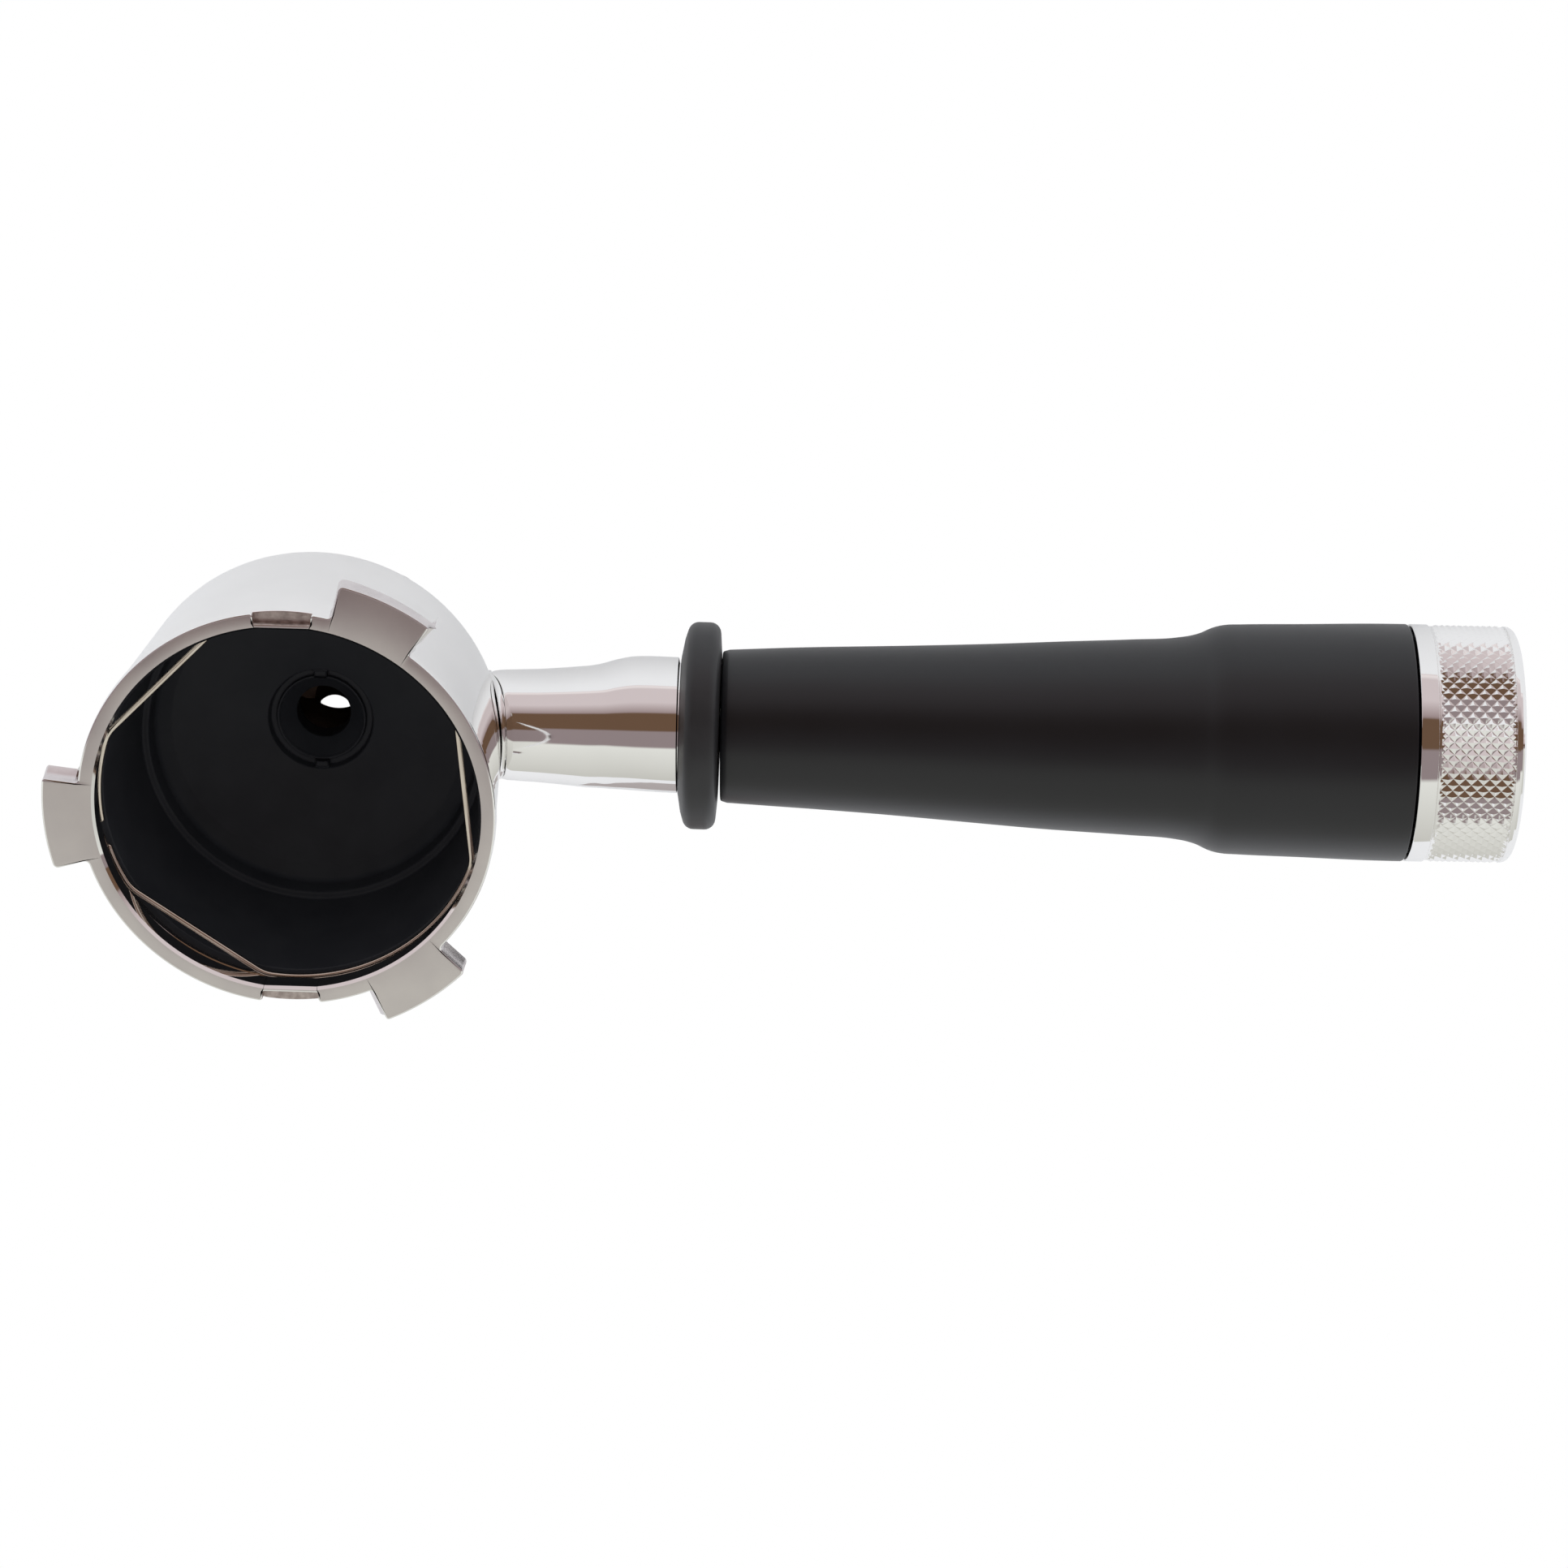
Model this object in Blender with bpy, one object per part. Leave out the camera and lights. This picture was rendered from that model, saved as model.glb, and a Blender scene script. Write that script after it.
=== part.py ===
"""Portafilter: a bayonet cup with a lining, a retaining spring, a twin spout and a screwed-together handle.

Frame: +Z up along the cup's axis with its mouth up, +X along the handle, and the origin at the centre of the
rim's top face.
"""

import math

import bmesh
import bpy
from mathutils import Matrix

MM = 0.001
GAP = 0.3  # clearance that separate pieces keep, in mm
CUP_STEPS = 48
HANDLE_STEPS = 32

# Driving dimensions, in mm. Heights on the cup are along Z, and 0 is the rim's top face.
RIM_R = 31.0
LIP_R = 28.5
WALL_TOP_R = 30.9
WALL_FOOT_R = 28.8
WALL_FOOT_Z = -32.0
BOTTOM_ROUND_R = 16.0
CUP_WALL = 1.4
GROOVE_R = 29.6
GROOVE_TOP_Z = -3.6
GROOVE_FOOT_Z = -6.2
STUB_R = 8.2
STUB_BORE_R = 5.6
STUB_FOOT_Z = -60.0

LUG_R = 36.3
LUG_ROOT_R = 30.1
LUG_ANGLES_DEG = (65.0, 185.0, 305.0)
LUG_HALF_WIDTH_DEG = 11.5
LUG_THIN = 3.0
LUG_THICK = 4.0
LUG_FLARE = 1.2  # how far the lead-in side spreads from its top edge to its foot
NOTCH_FLAT_Y = 29.1
NOTCH_HALF_WIDTH = 4.2
NOTCH_DEPTH = 1.3

LINER_WALL = 0.85
LINER_TOP_Z = -6.8
LEDGE_Z = -30.3
OUTLET_R = 4.2
OUTLET_TUBE_R = 5.25

WIRE_R = 0.45
WIRE_ARC_R = 28.6
WIRE_FLAT_R = 26.0
WIRE_FLATS_DEG = (135.5, 5.5, 236.0)
WIRE_ENDS_DEG = (197.0, 548.0)

SPOUT_ANGLE_DEG = 80.0  # direction of one arm, measured from the handle
SPOUT_COLLAR_R = 11.2
SPOUT_TOP_Z = -53.3
SPOUT_FOOT_Z = -74.0
SPOUT_LEG_Y = 9.8
SPOUT_BORE_R = 3.05

HANDLE_Z = -38.5
HANDLE_DROP_DEG = 1.4
# Stations along the handle, in mm from the cup's axis
BOSS_END = 29.2
SPIGOT_END = 43.0
SPIGOT_R = 6.2
NECK_STEP = 42.8
NECK_END = 57.6
GUARD_START = 55.6
GUARD_END = 62.1
GRIP_START = 62.4
GRIP_END = 168.3
CAP_START = 168.6
CAP_REBATE = 169.5
CAP_END = 184.7
RECESS_START = 158.0
ROD_R = 3.7
ROD_START = 31.0
ROD_END = 178.0
THREAD_R = 4.0
CAP_R = 18.4
NECK_OFFSET = 0.65  # how far the neck's wide end stands off the rod's line
GRIP_OFFSET = 0.47  # the same at the grip's front end, fading out along the grip
OFFSET_DOWN, OFFSET_SIDE = 0.36, 0.93  # the direction it stands off in, below and to the +Y side
OFFSET_STATIONS = (41.0, 49.0, 57.0, 72.0, 114.0)  # it starts, is full, is the grip's, fades, ends


def clear_scene():
    for old in list(bpy.data.objects):
        bpy.data.objects.remove(old, do_unlink=True)


def make_material(name, colour, metallic, roughness):
    """A plain finish: its colour, how metallic it is and how rough."""
    made = bpy.data.materials.new(name)
    made.use_nodes = True
    shader = made.node_tree.nodes["Principled BSDF"]
    shader.inputs["Base Color"].default_value = (*colour, 1.0)
    shader.inputs["Metallic"].default_value = metallic
    shader.inputs["Roughness"].default_value = roughness
    return made


def add_object(name, shape, finish, parent=None):
    """Turns a bmesh in mm into an object in metres, shaded smooth with its real corners kept sharp."""
    bmesh.ops.scale(shape, vec=(MM, MM, MM), verts=shape.verts)
    mesh = bpy.data.meshes.new(name)
    shape.to_mesh(mesh)
    shape.free()
    mesh.shade_smooth()
    mesh.set_sharp_from_angle(angle=math.radians(35))
    made = bpy.data.objects.new(name, mesh)
    if finish:
        made.data.materials.append(finish)
    made.parent = parent
    bpy.context.scene.collection.objects.link(made)
    return made


def as_cutter(made):
    """Hides a piece that only cuts or joins another."""
    made.hide_render = True
    made.display_type = "WIRE"
    return made


def combine(target, tool, operation):
    step = target.modifiers.new(f"{operation.lower()}_{tool.name}", "BOOLEAN")
    step.operation = operation
    step.object = as_cutter(tool)


def arc(centre_r, centre_z, radius, start_deg, end_deg, pieces):
    """Points (r, z) on an arc, from start to end."""
    turns = [math.radians(start_deg + (end_deg - start_deg) * i / pieces) for i in range(pieces + 1)]
    return [(centre_r + radius * math.cos(t), centre_z + radius * math.sin(t)) for t in turns]


def turned(outline, steps):
    """Spins a closed (radius, height) outline, in mm, about the Z axis."""
    shape = bmesh.new()
    points = [shape.verts.new((r, 0.0, z)) for r, z in outline]
    edges = [shape.edges.new((a, b)) for a, b in zip(points, points[1:] + points[:1])]
    about_z = {"cent": (0, 0, 0), "axis": (0, 0, 1), "dvec": (0, 0, 0)}
    bmesh.ops.spin(shape, geom=points + edges, angle=math.tau, steps=steps, use_merge=True, **about_z)
    bmesh.ops.remove_doubles(shape, verts=shape.verts, dist=1e-4)
    on_axis = [edge for edge in shape.edges if not edge.link_faces]
    bmesh.ops.delete(shape, geom=on_axis, context="EDGES")
    bmesh.ops.recalc_face_normals(shape, faces=shape.faces)
    return shape


def prism(outline, low, high):
    """A straight prism in mm over a plan outline, from one height to the other."""
    shape = bmesh.new()
    foot = shape.faces.new([shape.verts.new((x, y, low)) for x, y in outline])
    raised = bmesh.ops.extrude_face_region(shape, geom=[foot])["geom"]
    tops = [part for part in raised if isinstance(part, bmesh.types.BMVert)]
    bmesh.ops.translate(shape, verts=tops, vec=(0, 0, high - low))
    bmesh.ops.recalc_face_normals(shape, faces=shape.faces)
    return shape


def box(low, high):
    """An upright box in mm between two opposite corners."""
    corners = [(low[0], low[1]), (high[0], low[1]), (high[0], high[1]), (low[0], high[1])]
    return prism(corners, low[2], high[2])


def cylinder(radius, start, end, steps=24):
    """A round bar in mm along Z."""
    return turned([(0, start), (radius, start), (radius, end), (0, end)], steps)


def tube(outer, inner, start, end, steps=24, chamfer=0.3):
    """A ring in mm about Z with chamfered outer edges."""
    outline = [(inner, start), (outer - chamfer, start), (outer, start + chamfer)]
    outline += [(outer, end - chamfer), (outer - chamfer, end), (inner, end)]
    return turned(outline, steps)


def eased(value, start, end):
    """0 before start, 1 after end, and smooth between them."""
    share = min(max((value - start) / (end - start), 0.0), 1.0)
    return share * share * (3 - 2 * share)


def centre_offset(station):
    """How far the outside of the neck, guard or grip stands off the rod's line at a station, in mm."""
    starts, full, at_grip, fades, ends = OFFSET_STATIONS
    offset = NECK_OFFSET * eased(station, starts, full)
    offset -= (NECK_OFFSET - GRIP_OFFSET) * eased(station, full, at_grip)
    return offset - GRIP_OFFSET * eased(station, fades, ends)


def set_off(shape, bore):
    """Moves the outside of a piece turned about the handle's axis by the offset, its bore kept in line."""
    for vert in shape.verts:
        if math.hypot(vert.co.x, vert.co.y) > bore:
            offset = centre_offset(vert.co.z)
            vert.co.x += OFFSET_DOWN * offset
            vert.co.y += OFFSET_SIDE * offset
    return shape


def hex_nut(across_flats, bore, start, end):
    """A plain hexagon nut in mm about Z, and the cutter for its bore."""
    corner = across_flats / math.sqrt(3)
    plan = [(corner * math.cos(math.tau * i / 6), corner * math.sin(math.tau * i / 6)) for i in range(6)]
    return prism(plan, start, end), cylinder(bore, start - 1, end + 1, 16)


def wall_radius(z):
    """The cup's outer radius at a height on its straight, slightly tapered wall."""
    return WALL_TOP_R + (WALL_FOOT_R - WALL_TOP_R) * z / WALL_FOOT_Z


def build_cup_body(finish, handle_axis):
    """The chrome body: tapered wall, round bottom, threaded outlet stub, lugs, handle boss and spigot."""
    round_r = WALL_FOOT_R - BOTTOM_ROUND_R
    outside = [(0, 0), (RIM_R - 0.35, 0), (RIM_R, -0.35), (RIM_R, -2.4), (wall_radius(-3.0), -3.0)]
    outside += arc(round_r, WALL_FOOT_Z, BOTTOM_ROUND_R, 0, -90, 6)
    outside += [(STUB_R + 0.8, WALL_FOOT_Z - BOTTOM_ROUND_R), (STUB_R, WALL_FOOT_Z - BOTTOM_ROUND_R - 0.2)]
    outside += [(STUB_R, STUB_FOOT_Z + 0.6), (STUB_R - 0.6, STUB_FOOT_Z), (0, STUB_FOOT_Z)]
    body = add_object("cup_body", turned(outside, CUP_STEPS), finish)

    for number, angle in enumerate(LUG_ANGLES_DEG):
        lug = lug_shape()
        turn = Matrix.Rotation(math.radians(angle), 3, "Z")
        bmesh.ops.rotate(lug, cent=(0, 0, 0), matrix=turn, verts=lug.verts)
        combine(body, add_object(f"lug_{number + 1}", lug, None), "UNION")

    root = [(0, 15), (8.8, 15), (8.8, BOSS_END - 0.8), (8.65, BOSS_END - 0.3), (8.3, BOSS_END)]
    root += [(SPIGOT_R, BOSS_END), (SPIGOT_R, SPIGOT_END - 0.5), (SPIGOT_R - 0.5, SPIGOT_END)]
    root += [(0, SPIGOT_END)]
    combine(body, add_object("boss", turned(root, 24), None, handle_axis), "UNION")

    foot_round = BOTTOM_ROUND_R - CUP_WALL
    inside = [(0, 5), (LIP_R + 5.4, 5), (LIP_R + 0.4, 0), (LIP_R, -0.4), (LIP_R, GROOVE_TOP_Z)]
    inside += [(GROOVE_R, GROOVE_TOP_Z), (GROOVE_R, GROOVE_FOOT_Z)]
    inside += [(wall_radius(GROOVE_FOOT_Z) - CUP_WALL, GROOVE_FOOT_Z)]
    inside += arc(round_r, WALL_FOOT_Z, foot_round, 0, -90, 6)
    inside += [(STUB_BORE_R, WALL_FOOT_Z - foot_round), (STUB_BORE_R, STUB_FOOT_Z - 2), (0, STUB_FOOT_Z - 2)]
    combine(body, add_object("cup_hollow", turned(inside, CUP_STEPS), None), "DIFFERENCE")

    for side in (-1, 1):
        near, far = sorted((side * NOTCH_FLAT_Y, side * (RIM_R + 2)))
        notch = box((-NOTCH_HALF_WIDTH, near, -NOTCH_DEPTH), (NOTCH_HALF_WIDTH, far, 2))
        combine(body, add_object(f"notch_{side + 2}", notch, None), "DIFFERENCE")

    thread = cylinder(THREAD_R, ROD_START - 1.5, SPIGOT_END + 2, 16)
    combine(body, add_object("spigot_thread", thread, None, handle_axis), "DIFFERENCE")
    keyway = box((-7.4, -1.5, 30), (-4.9, 1.5, 39))
    combine(body, add_object("spigot_keyway", keyway, None, handle_axis), "DIFFERENCE")
    return body


def lug_shape():
    """One bayonet lug about +X: flush on top, ramped underneath, with round corners and one flared side."""
    half = math.radians(LUG_HALF_WIDTH_DEG)
    turns = [-half + 2 * half * i / 8 for i in range(9)]
    inner = [(LUG_ROOT_R * math.cos(t), LUG_ROOT_R * math.sin(t)) for t in reversed(turns)]
    outer = [(LUG_R * math.cos(t), LUG_R * math.sin(t)) for t in turns[1:-1]]
    corner_x, corner_y = (LUG_R - 1.2) * math.cos(half), (LUG_R - 1.2) * math.sin(half)
    ends = [(corner_x, -corner_y), (corner_x, corner_y)]
    shape = prism([ends[0], *outer, ends[1], *inner], -LUG_THICK, 0)
    low, high = -math.sin(half) * LUG_R, math.sin(half) * LUG_R
    for vert in shape.verts:
        if vert.co.z < -1:
            share = (vert.co.y - low) / (high - low)
            vert.co.z = -LUG_THIN - (LUG_THICK - LUG_THIN) * share
            if math.atan2(vert.co.y, vert.co.x) < 0.001 - half:
                vert.co.y -= LUG_FLARE
    return shape


def build_cup_liner(finish):
    """The black moulded lining: thin wall, ledge, shallow funnel and outlet tube."""
    outer = [(wall_radius(z) - CUP_WALL - 0.25, z) for z in (LINER_TOP_Z, -20.0, WALL_FOOT_Z)]
    ledge_r = wall_radius(LEDGE_Z) - CUP_WALL - 0.25 - LINER_WALL
    inner = [(outer[0][0] - LINER_WALL, LINER_TOP_Z), (ledge_r, LEDGE_Z)]
    outline = [outer[0], *outer[1:], (26.0, -34.2), (24.4, -36.9), (9.4, -42.0), (9.0, -42.8)]
    outline += [(OUTLET_TUBE_R, -42.8), (OUTLET_TUBE_R, -58.0), (OUTLET_R, -58.0), (OUTLET_R, -43.2)]
    outline += [(6.6, -40.4), (7.1, -39.6), (8.0, -39.4), (22.6, -35.4), (23.6, -34.9), (24.6, -33.6)]
    outline += [(25.2, -31.9), (25.4, -30.6), (25.8, LEDGE_Z), inner[1], inner[0]]
    liner = add_object("cup_liner", turned(outline, CUP_STEPS), finish)
    for number, start in enumerate((98, 278)):
        turns = [math.radians(start + 164 * i / 10) for i in range(11)]
        ring = [(7.9 * math.cos(t), 7.9 * math.sin(t)) for t in turns]
        ring += [(7.1 * math.cos(t), 7.1 * math.sin(t)) for t in reversed(turns)]
        combine(liner, add_object(f"moat_{number + 1}", prism(ring, -40.6, -38), None), "DIFFERENCE")
    return liner


def build_basket_spring(finish):
    """The wire ring: three flats that grip a basket, joined by arcs that lie in the groove; open ends."""
    start, end = WIRE_ENDS_DEG
    count = 60
    points = []
    for i in range(count + 1):
        angle = math.radians(start + (end - start) * i / count)
        radius = WIRE_ARC_R
        for flat in WIRE_FLATS_DEG:
            facing = math.cos(angle - math.radians(flat))
            if facing > 0.5:
                radius = min(radius, WIRE_FLAT_R / facing)
        points.append((radius * math.cos(angle), radius * math.sin(angle)))
    wire = bpy.data.curves.new("basket_spring", "CURVE")
    wire.dimensions = "3D"
    wire.bevel_depth = WIRE_R * MM
    wire.bevel_resolution = 1
    wire.use_fill_caps = True
    run = wire.splines.new("POLY")
    run.points.add(count)
    height = (GROOVE_TOP_Z + GROOVE_FOOT_Z) / 2
    for point, (x, y) in zip(run.points, points):
        point.co = (x * MM, y * MM, height * MM, 1)
    made = bpy.data.objects.new("basket_spring", wire)
    wire.materials.append(finish)
    bpy.context.scene.collection.objects.link(made)
    return made


def build_outlet_rings(rubber, steel):
    """What sits round the outlet: the lining's O-ring, the lock nut and the flat gasket above the spout."""
    seal = turned(arc(7.3, -44.7, 1.6, 0, 315, 7), 24)
    add_object("liner_seal", seal, rubber)
    nut, bore = hex_nut(22.5, STUB_R + GAP, -51.5, -48.4)
    lock = add_object("spout_lock_nut", nut, steel)
    combine(lock, add_object("lock_nut_bore", bore, None), "DIFFERENCE")
    add_object("spout_gasket", tube(11.0, STUB_R + GAP, -53.0, -51.8), rubber)
    return lock


def rounded_plan(half_x, half_y, corner, pieces=3):
    """A rectangle with round corners, as plan points."""
    plan = []
    for quarter, (sx, sy) in enumerate(((1, 1), (-1, 1), (-1, -1), (1, -1))):
        start = 90 * quarter
        plan += arc(sx * (half_x - corner), sy * (half_y - corner), corner, start, start + 90, pieces)
    return plan


def lofted(sections):
    """Skins a solid through (plan points, height) sections that have equal numbers of points."""
    shape = bmesh.new()
    rings = [[shape.verts.new((x, y, z)) for x, y in plan] for plan, z in sections]
    for low, high in zip(rings, rings[1:]):
        count = len(low)
        for i in range(count):
            shape.faces.new((low[i], low[(i + 1) % count], high[(i + 1) % count], high[i]))
    shape.faces.new(rings[0])
    shape.faces.new(rings[-1])
    bmesh.ops.recalc_face_normals(shape, faces=shape.faces)
    return shape


def slanted_bore(radius, start, end):
    """A round cutter in mm between two points."""
    direction = [e - s for s, e in zip(start, end)]
    length = math.sqrt(sum(d * d for d in direction))
    shape = cylinder(radius, 0, length, 14)
    along = Matrix.Rotation(-math.atan2(direction[1], direction[2]), 3, "X")
    bmesh.ops.rotate(shape, cent=(0, 0, 0), matrix=along, verts=shape.verts)
    bmesh.ops.translate(shape, verts=shape.verts, vec=start)
    return shape


def build_twin_spout(finish):
    """The cast twin spout, screwed on the outlet stub: collar, wide shoulders and two legs under an arch."""
    pivot = bpy.data.objects.new("spout_pivot", None)
    pivot.rotation_euler = (0, 0, math.radians(SPOUT_ANGLE_DEG - 90))
    bpy.context.scene.collection.objects.link(pivot)
    outline = [(0, SPOUT_TOP_Z), (SPOUT_COLLAR_R - 0.4, SPOUT_TOP_Z), (SPOUT_COLLAR_R, SPOUT_TOP_Z - 0.4)]
    outline += [(SPOUT_COLLAR_R, -62), (0, -62)]
    collar = turned(outline, 28)
    spout = add_object("twin_spout", collar, finish, pivot)
    levels = ((-56.6, 9.6, 11.5, 5.0), (-58.0, 10.1, 14.8, 3.2), (-60.0, 10.3, 16.6, 2.6))
    levels += ((-62.5, 10.3, 17.2, 2.6), (-66.0, 9.4, 16.6, 3.0), (-70.0, 7.6, 15.2, 4.0))
    levels += ((-73.4, 5.6, 14.1, 4.6), (SPOUT_FOOT_Z, 5.1, 13.6, 4.6))
    shoulders = lofted([(rounded_plan(half_x, half_y, corner), z) for z, half_x, half_y, corner in levels])
    combine(spout, add_object("spout_shoulders", shoulders, None, pivot), "UNION")
    arch = cylinder(6.0, -20, 20, 24)
    bmesh.ops.rotate(arch, cent=(0, 0, 0), matrix=Matrix.Rotation(math.radians(90), 3, "Y"), verts=arch.verts)
    bmesh.ops.translate(arch, verts=arch.verts, vec=(0, 0, -74.5))
    combine(spout, add_object("spout_arch", arch, None, pivot), "DIFFERENCE")
    socket = cylinder(STUB_R + GAP, SPOUT_TOP_Z + 2, STUB_FOOT_Z - GAP, 28)
    combine(spout, add_object("spout_socket", socket, None, pivot), "DIFFERENCE")
    for side in (-1, 1):
        slant = slanted_bore(SPOUT_BORE_R, (0, side * 2.6, -58.5), (0, side * SPOUT_LEG_Y, -67.5))
        combine(spout, add_object(f"spout_slant_{side + 2}", slant, None, pivot), "DIFFERENCE")
        leg = cylinder(SPOUT_BORE_R, -76, -65.5, 14)
        bmesh.ops.translate(leg, verts=leg.verts, vec=(0, side * SPOUT_LEG_Y, 0))
        combine(spout, add_object(f"spout_leg_{side + 2}", leg, None, pivot), "DIFFERENCE")
    return spout


def build_neck(chrome, steel, plastic, axis):
    """The chrome neck sleeved over the spigot, with the key, jam nut and centring bush inside it."""
    outline = [(6.5, BOSS_END + GAP), (8.3, BOSS_END + GAP), (8.6, BOSS_END + 0.7)]
    outline += [(8.65, 32.0), (8.95, 36.0), (9.35, 40.5), (9.65, 43.5), (10.05, 46.0), (10.35, 48.5)]
    outline += [(10.45, 51.0), (10.5, 55.0), (9.6, 55.6), (9.6, NECK_END), (7.8, NECK_END)]
    outline += [(7.8, NECK_STEP), (6.5, NECK_STEP)]
    neck = add_object("handle_neck", set_off(turned(outline, HANDLE_STEPS), 8.2), chrome, axis)
    keyway = box((-7.6, -1.5, 26), (-5.0, 1.5, 39))
    combine(neck, add_object("neck_keyway", keyway, None, axis), "DIFFERENCE")
    add_object("neck_key", box((-7.25, -1.2, 30.4), (-5.2, 1.2, 38.6)), steel, axis)
    nut, bore = hex_nut(13.0, THREAD_R, SPIGOT_END + GAP, 48.2)
    jam = add_object("rod_jam_nut", nut, steel, axis)
    combine(jam, add_object("jam_nut_bore", bore, None, axis), "DIFFERENCE")
    add_object("neck_bush", tube(7.5, THREAD_R, 50.5, NECK_END - 0.2), plastic, axis)
    return neck


def build_grip(black, rubber, brass, axis):
    """The guard ring and the black grip, with the brass bush moulded into its front end."""
    guard = [(THREAD_R + 0.4, GUARD_END), (THREAD_R + 0.4, 58.0), (9.9, 58.0), (9.9, 56.0), (10.75, 56.0)]
    guard += [(10.75, GUARD_START), (11.05, GUARD_START + 0.1), (11.3, 56.4)]
    guard += arc(14.4, 58.45, 1.7, -90, 0, 4)
    guard += arc(14.5, 60.1, 1.6, 0, 90, 4)
    guard += [(12.0, 61.8), (11.6, GUARD_END)]
    add_object("guard_ring", set_off(turned(guard, HANDLE_STEPS), 9.0), rubber, axis)

    grip = [(7.3, GRIP_START), (11.3, GRIP_START), (11.8, 62.9), (12.1, 65.0), (12.6, 76.0), (13.2, 89.0)]
    grip += [(13.9, 101.5), (14.6, 114.0), (15.2, 126.0), (15.65, 133.0), (15.95, 135.2), (16.45, 136.8)]
    grip += [(17.1, 138.4), (17.6, 140.0)]
    grip += [(17.8, 142.5), (18.05, 152.0), (18.3, 162.0), (18.4, 167.6), (18.2, 168.1), (17.8, GRIP_END)]
    grip += [(9.2, GRIP_END), (9.2, RECESS_START), (4.4, RECESS_START), (4.4, 75.0), (7.3, 75.0)]
    add_object("grip", set_off(turned(grip, HANDLE_STEPS), 9.5), black, axis)
    add_object("grip_bush", tube(7.0, THREAD_R, GRIP_START + 0.2, 74.7), brass, axis)


def build_clamp(steel, axis):
    """The tie rod and what is drawn up on it in the recess at the grip's end."""
    rod = [(0, ROD_START), (ROD_R - 0.7, ROD_START), (ROD_R, ROD_START + 0.7), (ROD_R, ROD_END - 0.7)]
    rod += [(ROD_R - 0.7, ROD_END), (0, ROD_END)]
    add_object("tie_rod", turned(rod, 16), steel, axis)
    add_object("clamp_washer", tube(8.6, THREAD_R, 158.3, 159.9), steel, axis)
    turns = [math.radians(8 + 344 * i / 14) for i in range(15)]
    split = [(6.9 * math.cos(t), 6.9 * math.sin(t)) for t in turns]
    split += [(THREAD_R * math.cos(t), THREAD_R * math.sin(t)) for t in reversed(turns)]
    add_object("spring_washer", prism(split, 160.2, 161.8), steel, axis)
    nut, bore = hex_nut(13.0, THREAD_R, 162.1, 167.6)
    clamp = add_object("clamp_nut", nut, steel, axis)
    combine(clamp, add_object("clamp_nut_bore", bore, None, axis), "DIFFERENCE")


def build_end_cap(chrome, brass, rubber, axis):
    """The knurled end cap with its threaded brass insert, and the rubber ring it closes against the grip."""
    seal = tube(17.3, 12.0, GRIP_END + GAP, CAP_REBATE - GAP, HANDLE_STEPS, 0.1)
    add_object("cap_seal", seal, rubber, axis)
    add_object("cap_insert", tube(7.0, THREAD_R, CAP_REBATE + GAP, 179.7), brass, axis)
    cap = [(0, CAP_END), (0, 180.0), (7.3, 180.0), (7.3, CAP_REBATE), (9.0, CAP_REBATE), (9.0, 181.3)]
    cap += [(15.6, 181.3), (15.6, CAP_REBATE), (17.6, CAP_REBATE), (17.6, CAP_START)]
    cap += [(18.15, CAP_START), (CAP_R, CAP_START + 0.25), (CAP_R, 171.3), (18.0, 171.6)]
    cap += [(CAP_R, 171.9), (CAP_R, 182.7), (18.0, 183.0), (18.2, 183.15)]
    cap += arc(16.7, 183.2, 1.5, 0, 90, 5)
    cap += [(8.0, CAP_END)]
    add_object("cap_shell", turned(cap, HANDLE_STEPS), chrome, axis)


def main():
    clear_scene()
    chrome = make_material("polished_chrome", (0.80, 0.79, 0.78), 1.0, 0.08)
    steel = make_material("zinc_plated_steel", (0.62, 0.62, 0.60), 1.0, 0.35)
    spring_steel = make_material("spring_steel", (0.55, 0.50, 0.44), 1.0, 0.25)
    brass = make_material("brass", (0.72, 0.55, 0.28), 1.0, 0.30)
    black = make_material("black_plastic", (0.03, 0.03, 0.035), 0.0, 0.42)
    lining = make_material("lining_plastic", (0.02, 0.02, 0.022), 0.0, 0.35)
    rubber = make_material("black_rubber", (0.035, 0.035, 0.037), 0.0, 0.55)

    axis = bpy.data.objects.new("handle_axis", None)
    axis.location = (0, 0, HANDLE_Z * MM)
    axis.rotation_euler = (0, math.radians(90 + HANDLE_DROP_DEG), 0)
    bpy.context.scene.collection.objects.link(axis)

    build_cup_body(chrome, axis)
    build_basket_spring(spring_steel)
    build_cup_liner(lining)
    build_outlet_rings(rubber, steel)
    build_twin_spout(chrome)
    build_neck(chrome, steel, black, axis)
    build_grip(black, rubber, brass, axis)
    build_clamp(steel, axis)
    build_end_cap(chrome, brass, rubber, axis)


main()
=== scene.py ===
"""A three-lug portafilter with a lined chrome cup, a black handle and a knurled end cap.

Lengths are in millimetres until a piece is put in place. +Z runs up the cup's axis from the rim's top
face, +X along the handle, and s is the distance along the handle's own axis.
"""

import math

import bmesh
import bpy
import numpy as np
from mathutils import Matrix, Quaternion, Vector


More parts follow.
